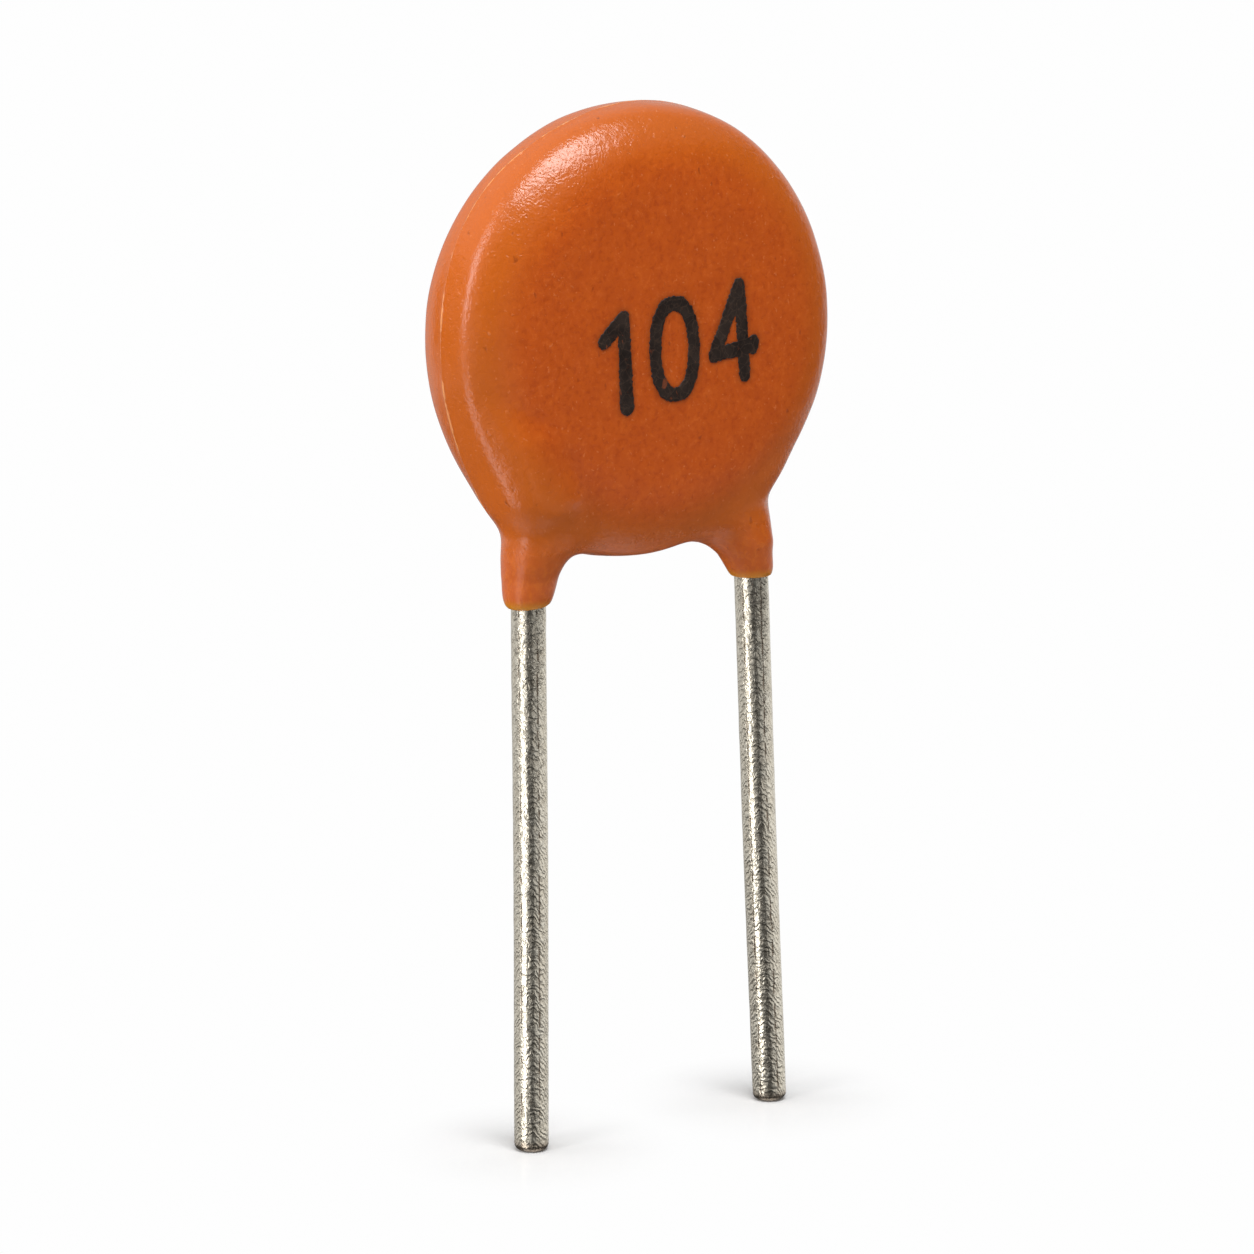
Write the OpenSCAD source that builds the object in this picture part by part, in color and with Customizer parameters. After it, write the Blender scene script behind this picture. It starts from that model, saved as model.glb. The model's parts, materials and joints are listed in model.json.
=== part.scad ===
// Ceramic disc capacitor: a ceramic disc with a silver electrode on each face, a wire soldered
// to each electrode, and a dipped resin coat over it all. It stands on the tips of its wires.
// X runs across the disc, from the left wire to the right one. The marked face looks along -Y.
// Z is up, and Z = 0 is the plane of the two wire tips.

/* [Ceramic and electrodes] */
// Diameter of the ceramic disc
ceramic_d = 6.6; // [6.2:0.1:9]
// Thickness of the ceramic disc
ceramic_t = 0.5; // [0.3:0.01:0.8]
// Radius of the ceramic disc's tumbled edge
ceramic_edge = 0.06; // [0.02:0.01:0.12]
// Bare rim of ceramic around each electrode
electrode_margin = 0.3; // [0.2:0.05:0.35]
// Thickness of each electrode
electrode_t = 0.02; // [0.01:0.005:0.03]

/* [Wires] */
// Diameter of the wire
wire_d = 0.6; // [0.5:0.01:0.64]
// Height of the end of the coat above the wire tips
bare_len = 9.83; // [5:0.01:30]
// Distance between the wires where they leave the coat
pitch = 4.76; // [3.9:0.02:5.1]
// Distance of the bare wires in front of the disc's middle plane
wire_front = 0.35; // [0:0.01:0.42]
// Angle that the left wire splays outwards, in degrees
left_splay = -0.1; // [-3:0.1:3]
// Angle that the right wire splays outwards, in degrees
right_splay = 2.8; // [-3:0.1:3]
// Radius of the worn edge at a wire's tip
tip_r = 0.12; // [0.04:0.01:0.2]
// Radius of the wire's middle line in its two bends
bend_r = 0.6; // [0.5:0.01:0.64]
// Height of the crank's lower end above the end of the coat
crank_foot = 0.51; // [0.45:0.01:1]
// Height over which the wire cranks across to its side of the disc
crank_len = 1.44; // [1.3:0.01:2]
// Distance of the crank's upper end below the ceramic's edge
crank_clear = 0.34; // [0.2:0.02:0.4]
// Length of wire that reaches past the middle of the disc
past_middle = 0.77; // [0.3:0.01:1]

/* [Solder] */
// Layer of solder between a wire and its electrode
solder_gap = 0.02; // [0.01:0.005:0.03]
// Radius of the mound of solder around a wire
solder_r = 0.5; // [0.4:0.01:0.56]
// Length of the mound of solder between the middles of its round ends
solder_len = 1.8; // [1:0.1:1.8]

/* [Resin coat] */
// Thickness of the resin around the ceramic's edge
rim_coat = 0.7; // [0.5:0.05:1]
// Thickness of the resin over the wires at each face
face_coat = 0.24; // [0.23:0.01:0.5]
// Width of the flat band around the rim
rim_flat = 0.22; // [0.1:0.02:1]
// Thickness of the resin around each wire
coat_t = 0.19; // [0.12:0.01:0.22]
// Thickness of the resin's lip where it ends on the wire
lip_t = 0.03; // [0.01:0.01:0.08]
// Fillet radius between a skirt and the rim, on the side between the wires
inner_fillet = 0.3; // [0.2:0.05:0.5]
// Fillet radius between a skirt and the rim, on the outer side
outer_fillet = 0.8; // [0.3:0.05:1]
// Thickness of the resin web that fills each fillet
web_t = 0.5; // [0.2:0.05:0.8]

/* [Marking] */
// Thickness of the ink film
ink_t = 0.015; // [0.01:0.005:0.03]
// Width of a printed stroke
stroke_w = 0.24; // [0.16:0.01:0.28]
// Height of the figures
figure_h = 1.83; // [1.4:0.01:2]
// Width of the nought
nought_w = 1.04; // [0.8:0.01:1.1]
// Slope of the line that the figures stand on, in degrees
code_slope = 8; // [0:0.5:10]
// Lean of the upright strokes to the left, in degrees
code_lean = 3.5; // [0:0.5:10]
// Middle of the printed code, to the right of the disc's centre
code_x = 0.13; // [-0.3:0.01:0.3]
// Middle of the printed code, above the disc's centre
code_z = -0.21; // [-0.5:0.01:0.5]
// Distance from the one's upright stroke to the middle of the nought
one_gap = 1.04; // [0.9:0.01:1.2]
// Distance from the middle of the nought to the four's upright stroke
four_gap = 1.46; // [1.3:0.01:1.6]
// Reach of the one's flag to the left of its upright stroke
flag_reach = 0.39; // [0.3:0.01:0.5]
// Reach of the four's bar to the left of its upright stroke
bar_left = 0.62; // [0.5:0.01:0.7]
// Reach of the four's bar to the right of its upright stroke
bar_right = 0.22; // [0.1:0.01:0.3]

/* [Hidden] */
$fn = 96;
FRONT = -1;
BACK = 1;
LEFT = -1;
RIGHT = 1;
wire_r = wire_d / 2;
coat_r = wire_r + coat_t;
electrode_face = ceramic_t / 2 + electrode_t;
// Distance of a wire's middle line, inside the coat, from the disc's middle plane
wire_depth = electrode_face + solder_gap + wire_r;
disc_r = ceramic_d / 2 + rim_coat;
disc_t = 2 * (wire_depth + wire_r + face_coat);
rim_r = (disc_t - rim_flat) / 2;
// Heights above the end of the coat: the upper end of the cranks and the disc's centre
crank_top = crank_foot + crank_len;
disc_rise = crank_top + crank_clear + sqrt(pow(ceramic_d, 2) - pow(pitch, 2)) / 2;
disc_z = bare_len + disc_rise;
// Height, above the end of the coat, of the middle of the skirt's round end
dome_rise = sqrt(pow(coat_r, 2) - pow(wire_r + lip_t, 2));
// A rod is a hair thicker in its bends, and each straight run laps into the bend beside it
bend_swell = 0.002;
lap = 0.02;
// How deep a web's edges are sunk into the rim and the skirt
web_sink = 0.06;
// The share of a crank's step that the web between the skirt and the rim lies at
web_share = 0.3;
// How far the coat follows the wire up, past the crank, until the disc buries it
buried_run = 0.95;
// Fall of the one's flag along its reach, and depth of the four's bar as a share of half its height
flag_fall = 0.8;
bar_depth = 0.4;
// How far the bare wire's middle line steps to the plane beside an electrode
function step_to(face) = face * wire_depth + wire_front;
function splay_of(side) = side == LEFT ? left_splay : right_splay;

// A crank: two equal bends and the slant between them, which touches both bends' circles
function slant_len(step) = sqrt(pow(crank_len, 2) + pow(step, 2) - 4 * bend_r * step);
function bend_angle(step) =
    atan2(step - 2 * bend_r, crank_len) + atan2(2 * bend_r, slant_len(step));

// Length of wire below the coat whose lowest edge, at its splay, is at Z = 0
function drop_to_floor(splay) =
    tip_r + (bare_len - tip_r - (wire_r - tip_r) * sin(abs(splay))) / cos(splay);

// Puts a shape drawn on a wire's own axis, Z up from the end of the coat, in its place
module on_wire(side) {
    translate([side * pitch / 2, -wire_front, bare_len])
        rotate([0, -side * splay_of(side), 0])
            children();
}

// Disc with flat faces and a rounded rim, centred, with its axis along Y
module rounded_disc(r, t, edge) {
    rotate([90, 0, 0])
        rotate_extrude() {
            translate([0, -t / 2])
                square([r - edge, t]);
            translate([0, edge - t / 2])
                square([r, t - 2 * edge]);
            for (face = [FRONT, BACK])
                translate([r - edge, face * (t / 2 - edge)])
                    circle(edge);
        }
}

// A bend in a rod of radius r, which starts at the origin, runs up Z and turns towards +Y
module bend(r, angle) {
    translate([0, bend_r, 0])
        rotate([90, 0, -90])
            rotate_extrude(angle = angle)
                translate([bend_r, 0])
                    circle(r + bend_swell);
}

// The place and direction that such a bend ends at
module after_bend(angle) {
    translate([0, bend_r * (1 - cos(angle)), bend_r * sin(angle)])
        rotate([-angle, 0, 0])
            children();
}

// The crank that steps a rod of radius r sideways by the signed distance, and the run above it
module crank_and_run(r, run, signed_step) {
    step = abs(signed_step);
    angle = bend_angle(step);
    slant = slant_len(step);
    mirror([0, signed_step < 0 ? 1 : 0, 0])
        translate([0, 0, crank_foot]) {
            bend(r, angle);
            after_bend(angle) {
                translate([0, 0, -lap])
                    cylinder(h = slant + 2 * lap, r = r);
                translate([0, 0, slant])
                    mirror([0, 1, 0]) {
                        bend(r, angle);
                        after_bend(angle)
                            translate([0, 0, -lap])
                                cylinder(h = run + lap, r = r);
                    }
            }
        }
}

// A wire: its worn tip, the straight length up to the crank, the crank and the upper run
module wire(side, face) {
    step = step_to(face);
    drop = drop_to_floor(splay_of(side));
    on_wire(side) {
        translate([0, 0, -drop])
            rotate_extrude() {
                square([wire_r - tip_r, drop]);
                translate([0, tip_r])
                    square([wire_r, drop - tip_r + crank_foot + lap]);
                translate([wire_r - tip_r, tip_r])
                    intersection() {
                        circle(tip_r);
                        translate([0, -tip_r])
                            square(2 * tip_r);
                    }
            }
        crank_and_run(wire_r, disc_rise + past_middle - crank_top, step);
    }
}

// The mound of solder that beds a wire on its electrode
module solder_mound(side, face) {
    difference() {
        on_wire(side)
            translate([0, face * electrode_face + wire_front, disc_rise])
                intersection() {
                    union() {
                        cylinder(h = solder_len, r = solder_r, center = true);
                        for (end = [-1, 1])
                            translate([0, 0, end * solder_len / 2])
                                sphere(solder_r);
                    }
                    translate([0, face * solder_r, 0])
                        cube([2 * solder_r, 2 * solder_r, solder_len + 2 * solder_r], center = true);
                }
        wire(side, face);
    }
}

module silver_film(face) {
    translate([0, face * (ceramic_t + electrode_t) / 2, disc_z])
        rotate([90, 0, 0])
            cylinder(h = electrode_t, d = ceramic_d - 2 * electrode_margin, center = true);
}

module ceramic_blank() {
    translate([0, 0, disc_z])
        rounded_disc(ceramic_d / 2, ceramic_t, ceramic_edge);
}

// The coat around one wire: a round end, then an even layer up into the disc
module skirt(side, face) {
    step = step_to(face);
    on_wire(side) {
        rotate_extrude() {
            intersection() {
                translate([0, dome_rise])
                    circle(coat_r);
                square([coat_r, dome_rise]);
            }
            translate([0, dome_rise])
                square([coat_r, crank_foot + lap - dome_rise]);
        }
        crank_and_run(coat_r, buried_run, step);
    }
}

// The corner between a skirt and the rim, filled to a round of the given radius and drawn in
// the disc's plane from the disc's centre. way is 1 on the outer side and -1 on the inner.
module fillet_outline(foot_x, way, fillet) {
    sunk_r = disc_r - web_sink;
    reach = sunk_r + fillet;
    middle_x = foot_x + way * (coat_r - web_sink + fillet);
    middle = [middle_x, -sqrt(pow(reach, 2) - pow(middle_x, 2))];
    root_x = foot_x + way * web_sink;
    difference() {
        polygon([
            [root_x, middle[1]],
            middle,
            middle * (sunk_r - web_sink) / reach,
            [root_x, -sqrt(pow(sunk_r - web_sink, 2) - pow(root_x, 2))]
        ]);
        translate(middle)
            circle(fillet);
    }
}

module fillet_webs(side, face) {
    foot_x = pitch / 2 - tan(splay_of(side)) * crank_top / 2;
    web_y = -wire_front + web_share * step_to(face);
    mirror([side == LEFT ? 1 : 0, 0, 0])
        translate([0, web_y, disc_z])
            rotate([90, 0, 0])
                linear_extrude(web_t, center = true) {
                    fillet_outline(foot_x, 1, outer_fillet);
                    fillet_outline(foot_x, -1, inner_fillet);
                }
}

module coating() {
    color("chocolate")
        difference() {
            union() {
                translate([0, 0, disc_z])
                    rounded_disc(disc_r, disc_t, rim_r);
                skirt(LEFT, FRONT);
                skirt(RIGHT, BACK);
                fillet_webs(LEFT, FRONT);
                fillet_webs(RIGHT, BACK);
            }
            ceramic_blank();
            silver_film(FRONT);
            silver_film(BACK);
            solder_mound(LEFT, FRONT);
            solder_mound(RIGHT, BACK);
            wire(LEFT, FRONT);
            wire(RIGHT, BACK);
        }
}

module ceramic_disc() {
    color("tan")
        ceramic_blank();
}

module electrode_front() {
    color("silver")
        silver_film(FRONT);
}

module electrode_back() {
    color("silver")
        silver_film(BACK);
}

module solder_front() {
    color("gray")
        solder_mound(LEFT, FRONT);
}

module solder_back() {
    color("gray")
        solder_mound(RIGHT, BACK);
}

module lead_left() {
    color("lightgray")
        wire(LEFT, FRONT);
}

module lead_right() {
    color("lightgray")
        wire(RIGHT, BACK);
}

// The figures are drawn on a line along u, with v up the lean of their strokes
function face_point(u, v) =
    [code_x + u * cos(code_slope) - v * sin(code_lean),
     code_z + u * sin(code_slope) + v * cos(code_lean)];

// A printed stroke with round ends
module stroke(from, to) {
    a = face_point(from[0], from[1]);
    b = face_point(to[0], to[1]);
    translate(a)
        circle(d = stroke_w);
    translate(b)
        circle(d = stroke_w);
    translate(a)
        rotate(atan2(b[1] - a[1], b[0] - a[0]))
            translate([0, -stroke_w / 2])
                square([norm(b - a), stroke_w]);
}

// The round end of the nought, above its middle at up = 1 and below it at up = -1
module nought_end(up, bow, side_v) {
    translate(face_point(0, up * side_v))
        rotate(code_slope)
            difference() {
                circle(bow + stroke_w / 2);
                circle(bow - stroke_w / 2);
                translate([-figure_h, up > 0 ? -2 * figure_h : 0])
                    square(2 * figure_h);
            }
}

module figure_one(u, top) {
    stroke([u, -top], [u, top]);
    stroke([u - flag_reach, top - flag_fall * flag_reach], [u, top]);
}

module figure_nought(u, top) {
    bow = (nought_w - stroke_w) / 2;
    for (up = [1, -1])
        nought_end(up, bow, top - bow);
    for (way = [-1, 1])
        stroke([u + way * bow, bow - top], [u + way * bow, top - bow]);
}

module figure_four(u, top) {
    bar_v = -bar_depth * top;
    stroke([u, top], [u, -top]);
    stroke([u, top], [u - bar_left, bar_v]);
    stroke([u - bar_left, bar_v], [u + bar_right, bar_v]);
}

module marking() {
    top = (figure_h - stroke_w) / 2;
    color("black")
        translate([0, -disc_t / 2, disc_z])
            rotate([90, 0, 0])
                linear_extrude(ink_t) {
                    figure_one(-one_gap, top);
                    figure_nought(0, top);
                    figure_four(four_gap, top);
                }
}

coating();
ceramic_disc();
electrode_front();
electrode_back();
solder_front();
solder_back();
lead_left();
lead_right();
marking();
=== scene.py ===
# A ceramic disc capacitor: a silvered ceramic disc in a dipped orange coat, standing on its two
# tinned wires, with its value printed on the front. The sections follow the order of making.
import json
import math
import bpy
import numpy as np
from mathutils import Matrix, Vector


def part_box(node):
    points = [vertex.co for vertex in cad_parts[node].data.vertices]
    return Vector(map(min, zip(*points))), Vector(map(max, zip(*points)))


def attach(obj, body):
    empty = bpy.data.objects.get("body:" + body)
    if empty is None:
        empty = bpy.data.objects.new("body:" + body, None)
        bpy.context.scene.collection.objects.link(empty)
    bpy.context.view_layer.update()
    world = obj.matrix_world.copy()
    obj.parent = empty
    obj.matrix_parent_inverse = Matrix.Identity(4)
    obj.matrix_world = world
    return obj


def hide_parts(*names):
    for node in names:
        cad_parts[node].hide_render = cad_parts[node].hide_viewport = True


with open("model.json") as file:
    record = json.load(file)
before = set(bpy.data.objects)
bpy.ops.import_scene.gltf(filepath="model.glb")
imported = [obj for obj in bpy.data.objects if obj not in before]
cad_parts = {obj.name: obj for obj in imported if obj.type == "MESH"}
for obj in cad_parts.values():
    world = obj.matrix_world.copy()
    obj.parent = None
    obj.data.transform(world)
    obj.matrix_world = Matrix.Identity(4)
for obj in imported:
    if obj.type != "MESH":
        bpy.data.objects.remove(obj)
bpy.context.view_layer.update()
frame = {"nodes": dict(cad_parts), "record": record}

# ---------------------------------------------------------------------------------------------
# The ceramic blank. A disc of dry-pressed, fired barium titanate, tan and matt, with its edge
# tumbled round. The resin hides it. Its shape is the frame's own, so it only gets its finish.

MM = 0.001  # one millimetre in metres: sizes below are in mm, and meshes are made in metres


class Shade:
    """A socket in a node tree. +, - and * on it add Math nodes, with a number or another Shade
    on either side, and node() adds a node of any other kind."""

    def __init__(self, tree, socket=None):
        self.tree = tree
        self.socket = socket

    def node(self, kind, settings, inputs, out=0):
        """Adds a node. Its settings are set first, with a colour ramp's stops as pairs of place
        and colour, then its sockets take values or links. out picks the output returned."""
        made = self.tree.nodes.new("ShaderNode" + kind)
        for key, value in settings.items():
            if key != "stops":
                setattr(made, key, value)
                continue
            places = made.color_ramp.elements
            while len(places) < len(value):
                places.new(1.0)
            for element, (place, colour) in zip(places, value):
                element.position = place
                element.color = colour
        for key, value in inputs.items():
            if isinstance(value, Shade):
                self.tree.links.new(value.socket, made.inputs[key])
            else:
                made.inputs[key].default_value = value
        return Shade(self.tree, made.outputs[out])

    def math(self, operation, *others):
        """A Math node on this socket and on others, each a number or a Shade."""
        return self.node("Math", {"operation": operation}, dict(enumerate((self, *others))))

    def __add__(self, other):
        return self.math("ADD", other)

    def __sub__(self, other):
        return self.math("SUBTRACT", other)

    def __mul__(self, other):
        return self.math("MULTIPLY", other)

    def __rsub__(self, other):
        return self.math("MULTIPLY_ADD", -1.0, other)

    __radd__ = __add__
    __rmul__ = __mul__

    def ease(self, low, high):
        """0 below low, 1 above high and a smooth rise between. With low above high it falls."""
        return self.node("MapRange", {"interpolation_type": "SMOOTHSTEP"},
                         {"Value": self, "From Min": low, "From Max": high})

    def colours(self, *stops):
        """A colour that runs through stops, each a value of this Shade and a colour."""
        return self.node("ValToRGB", {"stops": stops}, {0: self})

    def tint(self, other, amount):
        """This colour turned towards another colour by an amount from 0 to 1."""
        return self.node("Mix", {"data_type": "RGBA"}, {0: amount, 6: self, 7: other}, 2)

    def stretch(self, factors):
        """This vector with each of its parts multiplied by a factor."""
        return self.node("VectorMath", {"operation": "MULTIPLY"}, {0: self, 1: factors})

    def noise(self, per_mm, detail=2.0, rough=0.5, bend=0.0):
        """Smooth noise about 0.5 at this place, with so many lumps to a millimetre."""
        sizes = {"Scale": per_mm, "Detail": detail, "Roughness": rough, "Distortion": bend}
        return self.node("TexNoise", {}, {"Vector": self, **sizes})

    def part(self, axis):
        """The x, y or z part of this vector, for axis 0, 1 or 2."""
        return self.node("SeparateXYZ", {}, {0: self}, axis)


def paint(red, green, blue):
    """A colour written as screen values from 0 to 255, as the linear colour that sockets take."""
    return (*(((c / 255 + 0.055) / 1.055) ** 2.4 for c in (red, green, blue)), 1.0)


def new_finish(name):
    """A new material, and its node tree's place in millimetres from the object's origin."""
    finish = bpy.data.materials.new(name)
    finish.use_nodes = True
    finish.node_tree.nodes.clear()
    metres = Shade(finish.node_tree).node("TexCoord", {}, {}, "Object")
    return finish, metres.stretch((1 / MM, 1 / MM, 1 / MM))


def close_tree(at, shader, kind):
    """Ends a node tree in a shader, with a Material or a World output."""
    ending = at.tree.nodes.new("ShaderNodeOutput" + kind)
    at.tree.links.new(shader.socket, ending.inputs[0])


def close_finish(at, relief_mm, colour, rough, **constants):
    """Ends a material in a Principled shader, with its relief given as a height in mm."""
    normal = at.node("Bump", {}, {"Distance": MM, "Height": relief_mm})
    inputs = {"Base Color": colour, "Roughness": rough, "Normal": normal}
    inputs.update({key.replace("_", " "): value for key, value in constants.items()})
    close_tree(at, at.node("BsdfPrincipled", {}, inputs), "Material")


def finish_node(name, finish):
    """Gives a CAD node its finish."""
    piece = frame["nodes"][name]
    if not piece.material_slots:
        piece.data.materials.append(finish)
    for slot in piece.material_slots:
        slot.material = finish


def fired_ceramic():
    """Tan fired ceramic, with a fine grain and small darker pores."""
    finish, at = new_finish("fired_ceramic")
    grain = at.noise(9.0, 6.0, 0.6)
    pores = at.noise(22.0, 2.0).ease(0.62, 0.7)
    tan = grain.colours((0.3, paint(150, 122, 92)), (0.7, paint(190, 162, 126)))
    tan = tan.tint(paint(104, 84, 62), pores * 0.6)
    close_finish(at, grain * 0.004 - pores * 0.004, tan, 0.7 + pores * 0.2)
    return finish


finish_node("ceramic_disc", fired_ceramic())

# ---------------------------------------------------------------------------------------------
# The two electrodes. Silver paste is screen-printed on each face of the blank and fired to a
# thin satin film, which keeps the weave of the screen. They are CAD nodes with a finish too.

SCREEN_PITCH = 0.11  # from thread to thread of the printing screen


def fired_silver():
    """Clouded satin silver. Its weave is a sine across the face times a sine down it."""
    finish, at = new_finish("fired_silver")
    across = (at.part(0) * (math.tau / SCREEN_PITCH)).math("SINE")
    down = (at.part(2) * (math.tau / SCREEN_PITCH)).math("SINE")
    cloud = at.noise(4.0, 4.0)
    grey = cloud.colours((0.3, paint(188, 184, 174)), (0.7, paint(222, 219, 211)))
    close_finish(at, across * down * 0.001 + cloud * 0.002, grey, 0.35 + cloud * 0.2, Metallic=1.0)
    return finish


silver = fired_silver()
finish_node("electrode_front", silver)
finish_node("electrode_back", silver)

# ---------------------------------------------------------------------------------------------
# The two wires. Soft copper-clad steel, drawn, tinned and cut off short, so each has die marks
# along it, small pits, dull patches and a worn edge at its tip. Above the bare length it is
# cranked to its side of the blank and soldered there. Each one replaces its CAD solid.

left_mount, right_mount = frame["record"]["mounts"]
TIN_T = 0.006  # thickness of the tin
WIRE_R = left_mount["dims"]["r_mm"] + TIN_T
TIP_R = 0.12  # radius of the worn edge at the tip
COAT_END = 9.83  # height at which the coat ends
CRANK_FOOT = 0.51  # rise from the end of the coat to the crank
CRANK_LEN = 1.44  # rise of the crank itself
BEND_R = 0.6  # radius of each of its two bends, to the middle of the wire
RUN_UP = 3.396  # from the crank's upper end to the end of the wire
LEFT_STEP, RIGHT_STEP = -0.24, 0.94  # how far each crank steps back from the bare wire's plane
BOWS = {-1: 0.018, 1: -0.016}  # how far the middle of a wire bends sideways, by its step's sign
WIRE_AROUND = 96  # points round the wire
BARE_GAP, SUNK_GAP = 0.028, 0.06  # from ring to ring, on the bare wire and inside the coat
SUNK_START = 0.3  # how far into the coat the closer rings go on
END_REACHES = np.array([0.02, 0.08, 0.14])  # radii of the rings on the flat end of the tip
DIE_LINES = (0.5611, 0.7361)  # where the two die lines run, as shares of a turn round the wire
BACK_AXIS = np.array([0.0, 1.0, 0.0])


def crank_of(step):
    """The angle of both bends, and the length of the slant that just touches their circles."""
    slant = math.sqrt(CRANK_LEN ** 2 + step ** 2 - 4 * BEND_R * step)
    angle = math.atan2(step - 2 * BEND_R, CRANK_LEN) + math.atan2(2 * BEND_R, slant)
    return angle, slant


def wire_axis(mount):
    """A wire's place where the coat ends, and its direction upwards."""
    up = -np.array(mount["axis"])
    known = np.array(mount["pos_m"]) / MM
    return known + up * (COAT_END - known[2]) / up[2], up


def wire_line(mount, step):
    """Middle line of a wire from its tip: lengths along it, places, and the directions along
    and back across it. Its heading turns away from the axis through one bend and back through
    the other, in step with the length, and the places are a running sum of short moves. The
    bare part bends sideways a little, by a squared sine of the share of its length."""
    foot, up = wire_axis(mount)
    to_tip = TIP_R + (COAT_END - TIP_R - (WIRE_R - TIP_R) * abs(up[0])) / up[2]
    angle, slant = crank_of(abs(step))
    bend = BEND_R * angle
    turns = to_tip + CRANK_FOOT + np.array([0.0, bend, bend + slant, 2 * bend + slant])
    tilts = math.copysign(1.0, step) * np.array([0.0, angle, angle, 0.0])
    bare = np.arange(0.0, to_tip + SUNK_START, BARE_GAP)
    sunk = np.arange(bare[-1] + SUNK_GAP, turns[3] + RUN_UP, SUNK_GAP)
    along = np.concatenate([bare, sunk])
    moves = np.diff(along)[:, None]
    heading = np.interp((along[1:] + along[:-1]) / 2, turns, tilts)[:, None]
    path = np.cumsum((np.cos(heading) * up + np.sin(heading) * BACK_AXIS) * moves, axis=0)
    places = foot - up * to_tip + np.concatenate([np.zeros((1, 3)), path])
    places[:, 0] += BOWS[np.sign(step)] * np.sin(math.pi * np.clip(along / to_tip, 0.0, 1.0)) ** 2
    tilt = np.interp(along, turns, tilts)[:, None]
    ways = np.cos(tilt) * up + np.sin(tilt) * BACK_AXIS
    backs = np.cos(tilt) * BACK_AXIS - np.sin(tilt) * up
    return along, places, ways, backs


def drawn_relief(angle, along, seed):
    """Height of a drawn wire's surface in mm: die marks that run far along the wire, shallow
    dents, and pits where a third pattern is deepest. Each pattern is a sum of waves that close
    up round the wire, because each has a whole number of turns."""
    dice = np.random.default_rng(seed)

    def waves(count, turns, per_mm):
        """A sum of that many sines of angle and length, with turns and rates in those ranges."""
        total = np.zeros(np.broadcast(angle, along).shape)
        for _ in range(count):
            turn = dice.integers(*turns)
            rate = dice.uniform(*per_mm) * dice.choice((-1, 1))
            total += np.sin(turn * angle + math.tau * rate * along + dice.uniform(0, math.tau))
        return total / math.sqrt(count)

    marks = waves(14, (6, 26), (0.05, 0.5)) * 0.0009
    dents = waves(18, (1, 9), (0.6, 2.6)) * 0.0013
    pits = np.clip(waves(26, (2, 20), (1.5, 6.0)) - 1.2, 0.0, 1.2) * 0.004
    return marks + dents - pits


def grid_piece(name, rings, rises, finish):
    """A closed piece from rings of points: quads join each ring to the next, and one flat face
    closes each end. rings is an array of ring by point by xyz, in mm. Its UV map holds the
    share of a turn round it and the rise of each ring in mm."""
    count, around = rings.shape[:2]
    spot = np.arange(count * around).reshape(count, around)
    near = np.roll(spot, -1, axis=1)
    quads = np.stack([spot[:-1], near[:-1], near[1:], spot[1:]], axis=-1).reshape(-1, 4)
    ends = [spot[0, ::-1].tolist(), spot[-1].tolist()]
    piece = mesh_piece(name, rings.reshape(-1, 3), quads.tolist() + ends, finish)
    turn = np.arange(around) / around
    lefts, rights = np.broadcast_arrays(turn, turn + 1 / around)
    us = np.broadcast_to(np.stack([lefts, rights, rights, lefts], axis=-1), (count - 1, around, 4))
    low, high = rises[:-1, None], rises[1:, None]
    vs = np.broadcast_to(np.stack([low, low, high, high], axis=-1), (count - 1, around, 4))
    flat = [np.stack([turn[::-1], np.full(around, rises[0])], axis=-1),
            np.stack([turn, np.full(around, rises[-1])], axis=-1)]
    layer = piece.data.uv_layers.new(name="round_and_along")
    layer.data.foreach_set("uv", np.concatenate([np.stack([us, vs], axis=-1).ravel(),
                                                 *(f.ravel() for f in flat)]))
    return piece


def mesh_piece(name, points_mm, faces, finish):
    """A smooth-shaded piece at the origin, with its place in its mesh."""
    mesh = bpy.data.meshes.new(name)
    mesh.from_pydata((np.asarray(points_mm) * MM).tolist(), [], faces)
    mesh.polygons.foreach_set("use_smooth", np.ones(len(mesh.polygons), bool))
    mesh.materials.append(finish)
    mesh.update()
    piece = bpy.data.objects.new(name, mesh)
    bpy.context.scene.collection.objects.link(piece)
    return piece


def wire_rings(mount, step, seed):
    """Rings round a wire's middle line. At the tip they grow over its flat end and round its
    worn edge, which is a quarter circle, and further up each has the drawn wire's relief."""
    along, places, ways, backs = wire_line(mount, step)
    turn = np.linspace(0.0, math.pi / 2, 9)
    cap_reach = np.concatenate([END_REACHES, WIRE_R - TIP_R + TIP_R * np.sin(turn)])
    cap_rise = np.concatenate([END_REACHES * 0, TIP_R * (1 - np.cos(turn))])
    body = along > TIP_R
    reach = np.concatenate([cap_reach, np.full(body.sum(), WIRE_R)])
    rise = np.concatenate([cap_rise, along[body]])
    tip_places = places[0] + cap_rise[:, None] * ways[0]
    centre = np.concatenate([tip_places, places[body]])[:, None]
    back = np.concatenate([np.repeat(backs[:1], len(cap_rise), axis=0), backs[body]])[:, None]
    way = np.concatenate([np.repeat(ways[:1], len(cap_rise), axis=0), ways[body]])[:, None]
    side = np.cross(back, way)
    angle = np.linspace(0.0, math.tau, WIRE_AROUND, endpoint=False)[None, :]
    height = drawn_relief(angle, rise[:, None], seed) * np.clip(rise[:, None] / TIP_R, 0, 1)
    out = (reach[:, None] + height)[..., None]
    rings = centre + out * (np.cos(angle)[..., None] * side + np.sin(angle)[..., None] * back)
    return rings, rise


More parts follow.
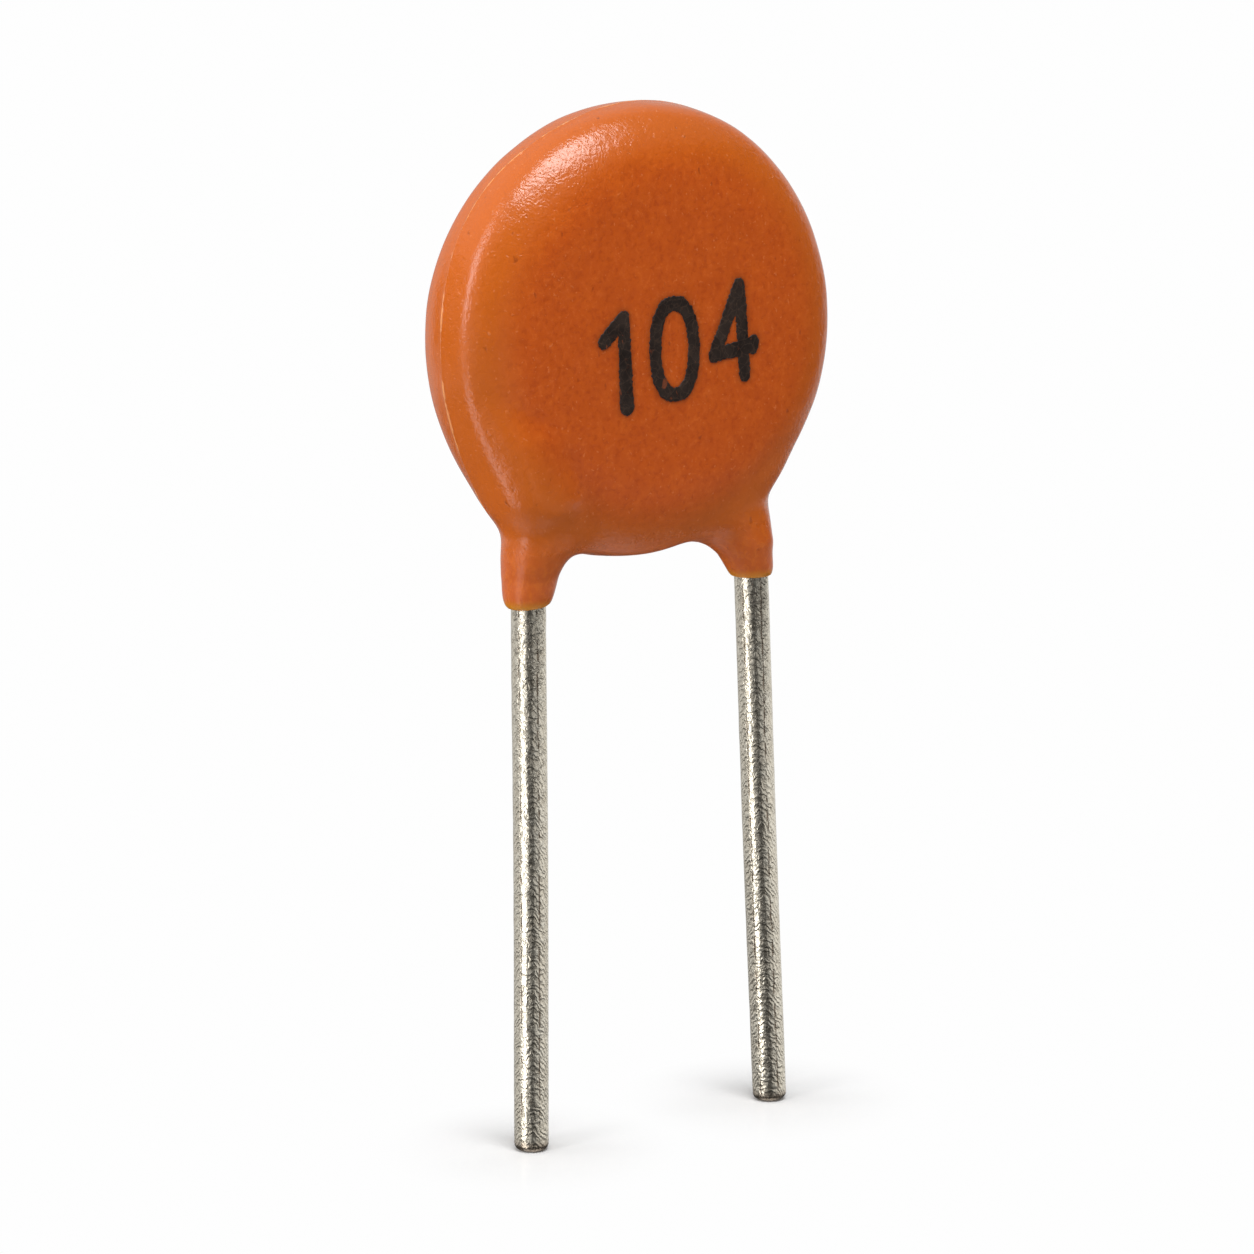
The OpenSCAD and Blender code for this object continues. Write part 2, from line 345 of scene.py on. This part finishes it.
def tinned_wire():
    """Bright tin over soft wire: its skin is mottled and curled all over, with soot in the
    creases and pits, two brown die lines that come and go, and a brown worn edge at the tip."""
    finish, at = new_finish("tinned_wire")
    drawn = at.stretch((1.0, 1.0, 0.75))
    mottle = drawn.noise(7.0, 4.0, 0.6, 0.5)
    curls = at.node("TexWave", {"wave_type": "BANDS", "bands_direction": "DIAGONAL"},
                    {"Vector": drawn, "Scale": 6.5, "Distortion": 9.0, "Detail": 2.0,
                     "Detail Scale": 1.3}, "Fac")
    pits = drawn.noise(18.0, 3.0, 0.6).ease(0.6, 0.7)
    tin = mottle.colours((0.3, paint(229, 220, 201)), (0.5, paint(244, 236, 218)),
                         (0.7, paint(251, 245, 229)))
    round_it = at.node("UVMap", {"uv_map": "round_and_along"}, {})
    turn = round_it.part(0) + (at.noise(2.0, 8.0, 0.75) - 0.5) * 0.06
    first_gap, second_gap = ((turn - line).math("ABSOLUTE") for line in DIE_LINES)
    broken = at.stretch((1.0, 1.0, 0.4)).noise(9.0, 4.0, 0.7).ease(0.44, 0.54)
    lines = first_gap.math("MINIMUM", second_gap).ease(0.01, 0.004) * broken
    tin = tin.tint(paint(96, 72, 42), curls.ease(0.4, 0.1) * 0.22 + pits * 0.3)
    tin = tin.tint(paint(96, 66, 40), lines * 0.75)
    tip = at.part(2).ease(0.3, 0.05)
    tin = tin.tint(paint(128, 98, 74), tip * 0.6)
    rough = 0.22 + mottle * 0.1 + pits * 0.2
    relief = mottle * 0.006 + curls * 0.0034 - pits * 0.0015 - lines * 0.003
    close_finish(at, relief, tin, rough, Metallic=1.0)
    return finish


tin = tinned_wire()
left_wire = grid_piece("left_wire", *wire_rings(left_mount, LEFT_STEP, seed=5), tin)
right_wire = grid_piece("right_wire", *wire_rings(right_mount, RIGHT_STEP, seed=9), tin)
for piece, node in ((left_wire, "lead_left"), (right_wire, "lead_right")):
    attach(piece, "root")
    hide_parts(node)

# ---------------------------------------------------------------------------------------------
# The solder. One mound of tin alloy beds each wire on its electrode. It was melted on and has
# cooled to a satin grey with a faint grain. Both mounds are CAD nodes with a finish.


def cooled_solder():
    """Satin grey metal, duller where its grain is paler."""
    finish, at = new_finish("cooled_solder")
    grain = at.noise(16.0, 4.0, 0.6)
    grey = grain.colours((0.3, paint(142, 142, 140)), (0.7, paint(184, 184, 180)))
    close_finish(at, grain * 0.003, grey, 0.3 + grain * 0.3, Metallic=1.0)
    return finish


solder = cooled_solder()
finish_node("solder_front", solder)
finish_node("solder_back", solder)

# ---------------------------------------------------------------------------------------------
# The resin coat. The soldered blank is dipped in orange resin, which draws round the rim,
# leaves a thin seam along it, and runs down both wires in skirts that end in a thin lip. It is
# one skin with no edges, so it's taken where a distance function is zero.

CENTRE_Z = (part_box("ceramic_disc")[0].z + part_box("ceramic_disc")[1].z) / 2 / MM
HALF_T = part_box("coating")[1].y / MM  # half the thickness of the plain disc
DISC_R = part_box("coating")[1].x / MM - 0.02
OUT_OF_ROUND = 0.0045  # height of the four crests of its edge, as a share of the radius
CREST_TURN = 1.15  # angle of the first crest, in radians up from +X
CROWN = 0.05  # how far the middle of each face stands over the plain disc
CROWN_FALL = 0.009  # the crown's fall for each square millimetre from the middle
SHOULDER_R = 2.3  # radius past which a face falls faster
SHOULDER_FALL = 0.11  # that fall for each cubic millimetre past the shoulder
RIM_CURVE = 1.55  # radius of the rim's section
RIDGE_SOFT = 0.06  # how far the shoulder and the rim run into each other
SEAM_H, SEAM_W = 0.012, 0.045  # height and half the width of the seam's ridge
SEAM_WAVER = 0.07  # how far the seam wanders to each side
SWELL = 0.004  # height of the cured resin's swells
LIP_R = 0.335  # the coat's radius where it ends on a wire
WAIST_W = 0.35  # half the height of a waist
SKIRT_RUN = 0.95  # how far a skirt's middle line runs up past the crank
# Each skirt: its radius, the height of its round end, its waist's depth and height, how softly
# it runs into the disc on the outer side and on the side between the wires, how far it stands
# aside of its wire, and how its end leans
SKIRTS = {
    -1: {"r": 0.465, "dome": 0.40, "waist": 0.17, "waist_h": 1.37, "outer": 1.2, "inner": 1.0,
         "aside": 0.02, "lean": 0.1},
    1: {"r": 0.42, "dome": 0.34, "waist": 0.17, "waist_h": 1.48, "outer": 1.34, "inner": 1.3,
        "aside": -0.05, "lean": 0.0},
}
FACE_SOFT = 0.2  # how softly both skirts run into the flat of a face
COAT_LOW, COAT_HIGH = (-4.1, -1.25, 9.7), (4.1, 1.25, 18.5)  # a box that holds the whole coat
COAT_CELL = 0.05  # side of a grid cell, and so of a quad


def soft_min(a, b, soft):
    """The smaller of two distances, rounded where they differ by less than soft."""
    share = np.clip(0.5 + 0.5 * (b - a) / soft, 0.0, 1.0)
    return b * (1 - share) + a * share - soft * share * (1 - share)


def soft_max(a, b, soft):
    """The larger of two distances, rounded where they differ by less than soft."""
    return -soft_min(-a, -b, soft)


def to_segment(place, start, end):
    """Distance from each place to the straight line between two points."""
    span = end - start
    share = sum((place[i] - start[i]) * span[i] for i in range(3)) / span.dot(span)
    share = np.clip(share, 0.0, 1.0)
    return np.sqrt(sum((place[i] - start[i] - share * span[i]) ** 2 for i in range(3)))


def rise_over(value, low, high):
    """0 below low, 1 above high and a smooth rise between."""
    share = np.clip((value - low) / (high - low), 0.0, 1.0)
    return share * share * (3 - 2 * share)


def seam_turn(x, z):
    """The angle of the seam's waver at a place on the rim, for numbers and for Shades."""
    return x * 0.9 + z * 1.1 - 14.0


def seam_line(waver):
    """Where the seam runs across the rim: just in front of its middle, wavering by a sine."""
    return waver * SEAM_WAVER - 0.03


def dipped_disc(x, y, z):
    """Distance outside the dipped disc. Each face is a low crown that falls away faster and
    faster towards the edge, and meets the rim's round section in a soft ridge. The drop of a
    face is a square of the distance from the middle, plus a cube of that past a shoulder, and
    the shoulder falls away more at the top. The resin pulls the disc a little out of round, by
    a wave with four crests."""
    radial = np.hypot(x, z - CENTRE_Z)
    round_it = np.arctan2(z - CENTRE_Z, x)
    radial = radial * (1 - OUT_OF_ROUND * np.cos(4 * (round_it - CREST_TURN)))
    top = rise_over(z - CENTRE_Z, 0.5, 3.2)  # 0 up to just over the middle, 1 near the top
    past = np.maximum(radial - SHOULDER_R - 0.13 * top, 0.0)
    cube = SHOULDER_FALL * (1 + 0.5 * top)
    fall = 2 * CROWN_FALL * radial + 3 * cube * past ** 2
    face = np.abs(y) - HALF_T - CROWN + CROWN_FALL * radial ** 2 + cube * past ** 3
    face = face / np.sqrt(1 + fall ** 2)
    rim = np.hypot(np.maximum(radial - DISC_R + RIM_CURVE, 0.0), y) - RIM_CURVE
    seam = SEAM_H * np.exp(-((y - seam_line(np.sin(seam_turn(x, z)))) / SEAM_W) ** 2)
    return soft_max(face, rim, RIDGE_SOFT) - seam * (radial > DISC_R - 0.4)


def skirt_on(x, y, z, side, mount, step):
    """Distance outside a skirt: how far a place is from the wire's middle line, less the
    skirt's radius at that height. The radius swells out of the lip by a quarter of an oval and
    draws in at a waist by a bell curve."""
    shape = SKIRTS[side]
    foot, up = wire_axis(mount)
    crank_top = CRANK_FOOT + CRANK_LEN
    rises = (-1.0, CRANK_FOOT, crank_top, crank_top + SKIRT_RUN)
    steps = (0.0, 0.0, step, step)
    spots = [foot + rise * up + back * BACK_AXIS for rise, back in zip(rises, steps)]
    off_x = x - shape["aside"] * rise_over(z - COAT_END, 0.0, 0.5)
    lines = [to_segment((off_x, y, z), start, end) for start, end in zip(spots, spots[1:])]
    height = z - COAT_END - shape["lean"] * (x - foot[0])
    dome = np.sqrt(1 - np.clip(1 - height / shape["dome"], 0, 1) ** 2)
    radius = LIP_R + (shape["r"] - LIP_R) * dome
    radius = radius - shape["waist"] * np.exp(-((height - shape["waist_h"]) / WAIST_W) ** 2)
    return np.maximum(np.minimum.reduce(lines) - radius, -height)


WAVE_COUNT = 30
wave_dice = np.random.default_rng(11)
WAVE_WAYS = wave_dice.normal(size=(WAVE_COUNT, 3))
WAVE_WAYS /= np.linalg.norm(WAVE_WAYS, axis=1, keepdims=True)
WAVE_RATES = wave_dice.uniform(3.0, 11.0, WAVE_COUNT)
WAVE_STARTS = wave_dice.uniform(0.0, math.tau, WAVE_COUNT)


def resin_waves(x, y, z):
    """Height of the cured resin's slow swells: a sum of waves that cross in all directions."""
    total = 0.0
    for way, rate, start in zip(WAVE_WAYS, WAVE_RATES, WAVE_STARTS):
        total = total + np.sin(rate * (way[0] * x + way[1] * y + way[2] * z) + start) / rate
    return total * SWELL


def coat_field(x, y, z):
    """Distance outside the whole coat: the disc and both skirts run softly into each other,
    more softly on one side of a wire than on the other and least over the faces, with the
    resin's swells on top. Nothing stands over the crown of a face."""
    field = dipped_disc(x, y, z)
    off_face = rise_over(np.hypot(x, z - CENTRE_Z), DISC_R - 1.3, DISC_R - 0.3)
    for side, mount, step in ((-1, left_mount, LEFT_STEP), (1, right_mount, RIGHT_STEP)):
        shape = SKIRTS[side]
        out = rise_over((x - wire_axis(mount)[0][0]) * side, -0.35, 0.35)
        soft = shape["inner"] + (shape["outer"] - shape["inner"]) * out
        soft = FACE_SOFT + (soft - FACE_SOFT) * off_face
        field = soft_min(field, skirt_on(x, y, z, side, mount, step), soft)
    return soft_max(field, np.abs(y) - HALF_T - CROWN - 0.01, 0.08) - resin_waves(x, y, z)


def slope_of(field, points):
    """How fast a field grows along x, y and z at each point, from its change over a hair."""
    hair = 0.002
    shifts = hair * np.eye(3)
    return np.stack([(field(*(points + s).T) - field(*(points - s).T)) / (2 * hair)
                     for s in shifts], axis=1)


def skin_of(field, low, high, cell):
    """Points and quads of the surface where a field is zero, inside where it is below zero.
    Each cell of a grid that the surface cuts gets one point, at the mean of where the surface
    crosses its edges. Each crossed edge gets a quad of the four cells round it. Steps against
    the slope then put each point on the surface."""
    low, cell = np.array(low), np.array(cell)
    lines = [np.arange(a, b + c, c) for a, b, c in zip(low, high, cell)]
    value = field(*np.meshgrid(*lines, indexing="ij"))
    size = np.array(value.shape)
    count = np.zeros(size - 1)
    total = np.zeros((*(size - 1), 3))
    crossings = []
    for axis in range(3):
        first = np.take(value, range(size[axis] - 1), axis)
        second = np.take(value, range(1, size[axis]), axis)
        crossed = (first < 0) != (second < 0)
        share = np.where(crossed, first / np.where(crossed, first - second, 1.0), 0.0)
        crossings.append((crossed, first < 0))
        others = [i for i in range(3) if i != axis]
        for shift in ((0, 0), (0, 1), (1, 0), (1, 1)):
            part = [slice(None)] * 3
            offset = np.zeros(3)
            for i, s in zip(others, shift):
                part[i] = slice(s, size[i] - 1 + s)
                offset[i] = s
            here = crossed[tuple(part)]
            count += here
            total += here[..., None] * offset
            total[..., axis] += share[tuple(part)]
    cut = count > 0
    number = np.full(count.shape, -1)
    number[cut] = np.arange(cut.sum())
    points = low + cell * (np.argwhere(cut) + total[cut] / count[cut][:, None])
    quads = []
    for axis, (crossed, starts_inside) in enumerate(crossings):
        i, j = (axis + 1) % 3, (axis + 2) % 3
        spot = np.argwhere(crossed)
        spot = spot[(spot[:, i] > 0) & (spot[:, j] > 0)]
        spot = spot[(spot[:, i] < size[i] - 1) & (spot[:, j] < size[j] - 1)]
        corners = []
        for back_i, back_j in ((1, 1), (0, 1), (0, 0), (1, 0)):
            corner = spot.copy()
            corner[:, i] -= back_i
            corner[:, j] -= back_j
            corners.append(number[tuple(corner.T)])
        quad = np.stack(corners, axis=1)
        out = starts_inside[tuple(spot.T)]
        quads.append(np.where(out[:, None], quad, quad[:, ::-1]))
    for _ in range(3):
        slope = slope_of(field, points)
        steep = np.maximum((slope ** 2).sum(axis=1), 0.2)
        points = points - slope * (field(*points.T) / steep)[:, None]
    return points, np.concatenate(quads)


# The figures darken the resin round them, so they come before the coat is coloured. The ends of
# the strokes of the one and the four are measured from the middle of the disc.
STROKE_W = 0.245
ONE_TOP, ONE_FOOT, ONE_FLAG = (-0.95, 0.43), (-0.86, -1.13), (-1.33, 0.05)
FOUR_TOP, FOUR_FOOT = (1.50, 0.80), (1.64, -0.79)
FOUR_LEFT, FOUR_RIGHT = (0.98, -0.39), (1.78, -0.28)
TICK_LOW, TICK_HIGH = (1.80, -0.33), (1.82, -0.23)  # where the four's bar turns up at its end
NOUGHT_MIDDLE = (0.13, -0.21)
NOUGHT_HALF = (0.405, 0.80)  # half its width and height, to the middle of the stroke
NOUGHT_POWER = 2.2  # 2 is an ellipse, and more is squarer
SOAK_W = 0.05  # how far the ink's thinner soaks into the resin


def stroke(x, z, start, end, widen=0.0):
    """Distance outside a stroke with round ends, which may widen towards its end."""
    a, b = np.array(start), np.array(end)
    span = b - a
    share = np.clip(((x - a[0]) * span[0] + (z - CENTRE_Z - a[1]) * span[1]) / span.dot(span), 0, 1)
    gap = np.hypot(x - a[0] - share * span[0], z - CENTRE_Z - a[1] - share * span[1])
    return gap - STROKE_W / 2 - widen * share


def nought(x, z):
    """Distance outside the nought: an oval ring, leaning a little to the left. Its middle line
    is where the powers of the shares of its half width and half height add up to 1."""
    off_z = z - CENTRE_Z - NOUGHT_MIDDLE[1]
    off_x = x - NOUGHT_MIDDLE[0] + 0.03 * off_z
    a, b = NOUGHT_HALF
    total = np.abs(off_x / a) ** NOUGHT_POWER + np.abs(off_z / b) ** NOUGHT_POWER
    ring = total ** (1 / NOUGHT_POWER)
    slope = np.sqrt((off_x / a ** 2) ** 2 + (off_z / b ** 2) ** 2) + 1e-6
    return np.abs((ring - 1) * ring / slope) - STROKE_W / 2


def figures(x, z):
    """Distance outside the nearest figure of the printed value, in the plane of the face."""
    return np.minimum.reduce([
        stroke(x, z, ONE_TOP, ONE_FOOT, 0.02), stroke(x, z, ONE_TOP, ONE_FLAG, 0.012),
        nought(x, z), stroke(x, z, FOUR_TOP, FOUR_FOOT), stroke(x, z, FOUR_TOP, FOUR_LEFT, 0.01),
        stroke(x, z, FOUR_LEFT, FOUR_RIGHT, 0.02), stroke(x, z, TICK_LOW, TICK_HIGH)])


def dipped_resin():
    """Orange filled resin, glossy under fine ripples: clouded, with small dark and pale specks,
    yellower round the rim and on the skirts, and thin and yellow where it ends on each wire. The
    seam's ridge is painted paler along its length, as a painted highlight."""
    finish, at = new_finish("dipped_resin")
    x, y, z = at.part(0), at.part(1), at.part(2)
    radial = (x * x + (z - CENTRE_Z) * (z - CENTRE_Z)).math("SQRT")
    cloud = at.noise(2.6, 5.0, 0.6)
    grain = at.noise(9.0, 4.0, 0.6, 0.3)
    orange = cloud.colours((0.32, paint(179, 75, 13)), (0.5, paint(184, 78, 13)),
                           (0.68, paint(189, 83, 15)))
    orange = orange.tint(paint(154, 58, 11), grain.ease(0.5, 0.3) * 0.45)
    orange = orange.tint(paint(208, 102, 34), grain.ease(0.52, 0.74) * 0.4)
    rim = radial.ease(DISC_R - 1.2, DISC_R - 0.3)
    orange = orange.tint(paint(184, 90, 18), rim * 0.8)
    dark_specks = at.stretch((1.0, 1.0, 0.6)).noise(8.0, 1.0).ease(0.72, 0.82)
    pale_specks = at.noise(14.0, 1.0).ease(0.66, 0.78)
    orange = orange.tint(paint(110, 46, 14), dark_specks * 0.45)
    orange = orange.tint(paint(218, 130, 72), pale_specks * 0.3)
    skirt = z.ease(COAT_END + 1.4, COAT_END + 0.5)
    orange = orange.tint(paint(180, 78, 5), skirt * 0.7)
    orange = orange.tint(paint(206, 106, 12), skirt * grain.ease(0.45, 0.65) * 0.35)
    lip = (z + at.noise(2.5) * 0.1).ease(COAT_END + 0.24, COAT_END + 0.04)
    orange = orange.tint(paint(196, 128, 12), lip * 0.8)
    soak = at.node("Attribute", {"attribute_name": "soak"}, {}, "Fac")
    orange = orange.tint(paint(92, 46, 20), soak * 0.55)
    off_seam = (y - seam_line(seam_turn(x, z).math("SINE"))).math("ABSOLUTE")
    off_seam = off_seam + at.noise(2.2, 3.0).ease(0.42, 0.6) * 0.03
    on_rim = radial.ease(DISC_R - 0.35, DISC_R - 0.25)
    seam = off_seam.ease(0.04, 0.015) * on_rim
    # Painted highlight: the seam is a real raised ridge, and its pale colour is painted on as the
    # light it catches.
    orange = orange.tint(paint(236, 160, 96), seam * 0.6)
    eddy_x, eddy_z = x + 2.1, z - 17.5
    eddy = (eddy_x * eddy_x + eddy_z * eddy_z).math("SQRT") + (at.noise(3.0, 3.0) - 0.5) * 0.7
    ripples = (eddy * (math.tau / 0.1)).math("SINE") * eddy.ease(2.4, 0.5)
    peel = at.noise(3.2, 3.0, 0.5)
    fine = at.noise(9.0, 3.0, 0.6, 0.8)
    relief = peel * 0.007 + fine * 0.011 + ripples * 0.0008
    relief = relief + seam * 0.01 - dark_specks * 0.005 + pale_specks * 0.003
    rough = 0.19 + grain * 0.08 + skirt * 0.1
    close_finish(at, relief, orange, rough, Specular_IOR_Level=0.55)
    return finish


points, quads = skin_of(coat_field, COAT_LOW, COAT_HIGH, (COAT_CELL,) * 3)
coat = mesh_piece("resin_coat", points, quads.tolist(), dipped_resin())
on_front = points[:, 1] < -1.0
gap = np.where(on_front, figures(points[:, 0], points[:, 2]), np.inf)
soak = coat.data.attributes.new("soak", "FLOAT", "POINT")
soak.data.foreach_set("value", np.exp(-np.maximum(gap, 0.0) / SOAK_W))
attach(coat, "root")
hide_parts("coating")

# ---------------------------------------------------------------------------------------------
# The printed value. Three figures in dark ink, pad-printed by hand and a little askew, so the
# film has soft, rough edges and scuffs. It lies on the coat and follows it.

INK_T = 0.012  # how far the film stands over the resin, and how far it goes into it
PRINT_LOW, PRINT_HIGH = (-1.7, -1.21, 12.8), (2.0, -1.1, 15.6)  # a box that holds the figures
PRINT_CELL = (0.014, 0.006, 0.014)  # finest through the film


def ink_field(x, y, z):
    """Distance outside the ink: the figures with a rough edge, as a film on the coat."""
    rough = 0.012 * np.sin(23 * x + 9 * np.sin(5 * z)) * np.sin(19 * z + 7 * np.sin(6 * x))
    rough = rough + 0.007 * np.sin(61 * x + 5 * np.sin(17 * z)) * np.sin(53 * z + 4 * np.sin(13 * x))
    above = coat_field(x, y, z)
    return np.maximum.reduce([figures(x, z) + rough, above - INK_T, -above - INK_T])


def printed_ink():
    """Brown-black ink with a dull sheen, cracked into scales, and thin or scuffed in places so
    that the orange shows."""
    finish, at = new_finish("printed_ink")
    cloud = at.noise(4.0, 4.0, 0.6)
    grain = at.noise(20.0, 3.0, 0.6)
    bends = at.node("TexNoise", {}, {"Vector": at, "Scale": 5.0, "Detail": 2.0}, "Color")
    bends = bends.stretch((0.2, 0.2, 0.2))
    bent = at.node("VectorMath", {"operation": "ADD"}, {0: at, 1: bends})
    cracks = at.node("TexVoronoi", {"feature": "DISTANCE_TO_EDGE"},
                     {"Vector": bent, "Scale": 6.0}).ease(0.06, 0.0)
    black = cloud.colours((0.3, paint(26, 18, 15)), (0.7, paint(52, 40, 33)))
    black = black.tint(paint(92, 68, 52), cracks * 0.25 + grain.ease(0.55, 0.75) * 0.35)
    scuffs = at.stretch((1.0, 1.0, 0.5)).noise(5.0, 2.0, 0.5, 1.5).ease(0.66, 0.72)
    thin = cloud.ease(0.36, 0.26)
    black = black.tint(paint(132, 62, 24), scuffs * 0.6 + thin * 0.4)
    relief = grain * 0.004 + cracks * 0.003 - scuffs * 0.004
    close_finish(at, relief, black, 0.42 + grain * 0.15, Specular_IOR_Level=0.35)
    return finish


points, quads = skin_of(ink_field, PRINT_LOW, PRINT_HIGH, PRINT_CELL)
code = mesh_piece("printed_value", points, quads.tolist(), printed_ink())
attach(code, "root")
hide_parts("marking")

# ---------------------------------------------------------------------------------------------
# The camera, floor and light. A pale floor with no edge in sight, a soft lamp close above, a tall
# soft light on the left, a dimmer fill on each side, and a grey room. None of it is part of the
# capacitor.

TURN, DIP = math.radians(34.614), math.radians(12.137)  # which way the camera looks
EYE = (-48.959, -70.837, 27.617)
FOCAL_LEN = 143.25  # for a frame 36 mm wide
lens = bpy.data.cameras.new("camera")
lens.lens = FOCAL_LEN
lens.clip_start, lens.clip_end = 1 * MM, 10000 * MM
camera = bpy.data.objects.new("camera", lens)
bpy.context.scene.collection.objects.link(camera)
camera.location = np.array(EYE) * MM
camera.rotation_euler = (math.pi / 2 - DIP, 0.0, -TURN)
bpy.context.scene.camera = camera


def toward(azimuth, height):
    """The unit vector at an azimuth clockwise of +Y and at an angle above the floor."""
    turn, rise = math.radians(azimuth), math.radians(height)
    return np.array([math.sin(turn) * math.cos(rise), math.cos(turn) * math.cos(rise),
                     math.sin(rise)])


def softbox(name, azimuth, height, distance, size, power):
    """A soft oblong light that faces the disc from an azimuth and a height in degrees, with its
    distance and its size in mm and its power in watts."""
    light = bpy.data.lights.new(name, "AREA")
    light.shape, light.size, light.size_y = "RECTANGLE", size[0] * MM, size[1] * MM
    light.energy = power
    lamp = bpy.data.objects.new(name, light)
    bpy.context.scene.collection.objects.link(lamp)
    lamp.location = (np.array([0.0, 0.0, CENTRE_Z]) + distance * toward(azimuth, height)) * MM
    turn, rise = math.radians(azimuth), math.radians(height)
    lamp.rotation_euler = (math.pi / 2 - rise, 0.0, math.pi - turn)
    lamp.visible_camera = False
    return lamp


softbox("top_light", -168, 65, 120.0, (68, 52), 0.135)
softbox("left_light", -97, 22, 500.0, (120, 420), 0.92)
left_fill = softbox("left_fill", -55, 6, 500.0, (200, 200), 1.1)
right_fill = softbox("right_fill", 80, 10, 500.0, (200, 200), 0.4)
left_fill.visible_glossy = right_fill.visible_glossy = False

world = bpy.data.worlds.new("room")
bpy.context.scene.world = world
world.use_nodes = True
world.node_tree.nodes.clear()
room = Shade(world.node_tree)
way = room.node("TexCoord", {}, {}, "Generated")
flat = room.node("VectorMath", {"operation": "NORMALIZE"}, {0: way.stretch((1.0, 1.0, 0.0))})


def near_way(azimuth, outer, inner):
    """1 within an angle of an azimuth, 0 beyond a wider angle, and a smooth fall between."""
    dot = room.node("VectorMath", {"operation": "DOT_PRODUCT"},
                    {0: flat, 1: toward(azimuth, 0.0)}, "Value")
    return dot.ease(math.cos(math.radians(outer)), math.cos(math.radians(inner)))


# The camera sees the room as white. Everything else sees it grey: paler on the left, low at the
# back on the right, in a strip just below the middle height in front on the right, and overhead;
# darker high on the right, behind the camera, and where it is steep below.
WHITE = 0.99
up = way.part(2)
level = 0.49 + near_way(-55, 70, 25) * 0.2
level = level + near_way(90, 65, 25) * up.ease(0.35, 0.1) * 0.33
level = level + near_way(150, 40, 15) * up.ease(-0.3, -0.2) * up.ease(0.0, -0.1) * 0.3
level = level + up.ease(0.15, 0.9) * 0.1
level = level - near_way(125, 60, 30) * up.ease(0.15, 0.5) * 0.3
level = level - near_way(-156, 22, 6) * 0.43
level = level * (1 - up.ease(-0.27, -0.42) * up.ease(-0.9, -0.75) * 0.9)
rays = room.node("LightPath", {}, {}, "Is Camera Ray")
strength = rays * WHITE + (1 - rays) * level
glow = room.node("Background", {}, {"Color": (1.0, 1.0, 1.0, 1.0), "Strength": strength})
close_tree(room, glow, "World")


def board(name, corners, finish):
    """A flat four-cornered backdrop that is not part of the capacitor."""
    piece = mesh_piece(name, corners, [(0, 1, 2, 3)], finish)
    return piece


# The camera sees a matt floor with a faint sheen near the tips, which fades to white further
# off. Reflections go through the floor to the room, and other light bounces off it.
FLOOR_HALF = 400.0
SHADOW_NEAR, SHADOW_FAR = 0.3, 2.8  # distance from a tip over which the floor fades to white
pale, at = new_finish("pale_floor")
camera_ray = at.node("LightPath", {}, {}, "Is Camera Ray")
glossy_ray = at.node("LightPath", {}, {}, "Is Glossy Ray")
known = [np.array(m["pos_m"]) / MM for m in (left_mount, right_mount)]
downs = [np.array(m["axis"]) for m in (left_mount, right_mount)]
tips = [place + down * place[2] for place, down in zip(known, downs)]
gaps = [at.node("VectorMath", {"operation": "DISTANCE"}, {0: at, 1: tuple(tip)}, "Value")
        for tip in tips]
far = gaps[0].ease(SHADOW_NEAR, SHADOW_FAR) * gaps[1].ease(SHADOW_NEAR, SHADOW_FAR)
matt = at.node("BsdfDiffuse", {}, {"Color": (0.69, 0.69, 0.69, 1.0)})
sheen = at.node("BsdfGlossy", {}, {"Color": (1.0, 1.0, 1.0, 1.0), "Roughness": 0.14})
near = at.node("MixShader", {}, {0: 0.05, 1: matt, 2: sheen})
white = at.node("Emission", {}, {"Color": (1.0, 1.0, 1.0, 1.0), "Strength": WHITE})
seen = at.node("MixShader", {}, {0: far, 1: near, 2: white})
bounce = at.node("BsdfDiffuse", {}, {"Color": (0.6, 0.6, 0.6, 1.0)})
solid = at.node("MixShader", {}, {0: camera_ray, 1: bounce, 2: seen})
open_air = at.node("BsdfTransparent", {}, {})
close_tree(at, at.node("MixShader", {}, {0: glossy_ray, 1: solid, 2: open_air}), "Material")
board("floor", [(-FLOOR_HALF, -FLOOR_HALF, 0), (FLOOR_HALF, -FLOOR_HALF, 0),
                (FLOOR_HALF, FLOOR_HALF, 0), (-FLOOR_HALF, FLOOR_HALF, 0)], pale)

# Two black cards hang at the disc's height, one on the right and one on the left, where the
# face and the rim would mirror the room. They fade away at the height of the wires. A white
# card stands low in front on the left, where only the wires mirror it. Nothing but reflections
# shows the cards.
CARD_FADE = (5.5, 7.5)  # heights between which the black cards fade in
black, at = new_finish("black_card")
dark = at.node("BsdfDiffuse", {}, {"Color": (0.02, 0.02, 0.02, 1.0)})
open_air = at.node("BsdfTransparent", {}, {})
share = at.part(2).ease(*CARD_FADE)
close_tree(at, at.node("MixShader", {}, {0: share, 1: open_air, 2: dark}), "Material")
bright, at = new_finish("white_card")
lit = at.node("Emission", {}, {"Color": (1.0, 1.0, 1.0, 1.0), "Strength": 3.3})
close_tree(at, lit, "Material")
# Each card: its azimuth, its distance, half its width, and the heights of its edges
for name, azimuth, away, half, low, high, finish in (
        ("front_black_card", 134, 16.0, 24.0, 4.0, 27.0, black),
        ("back_black_card", -55, 30.0, 14.0, 1.0, 27.0, black),
        ("low_white_card", -102, 30.0, 5.4, -14.0, 3.5, bright)):
    middle = away * toward(azimuth, 0)
    across = half * toward(azimuth + 90, 0)
    low_edge = np.array([0.0, 0.0, low])
    high_edge = np.array([0.0, 0.0, high])
    card = board(name, [
        middle - across + low_edge, middle + across + low_edge,
        middle + across + high_edge, middle - across + high_edge], finish)
    card.visible_camera = card.visible_diffuse = card.visible_shadow = False

bpy.context.scene.view_settings.view_transform = "Standard"
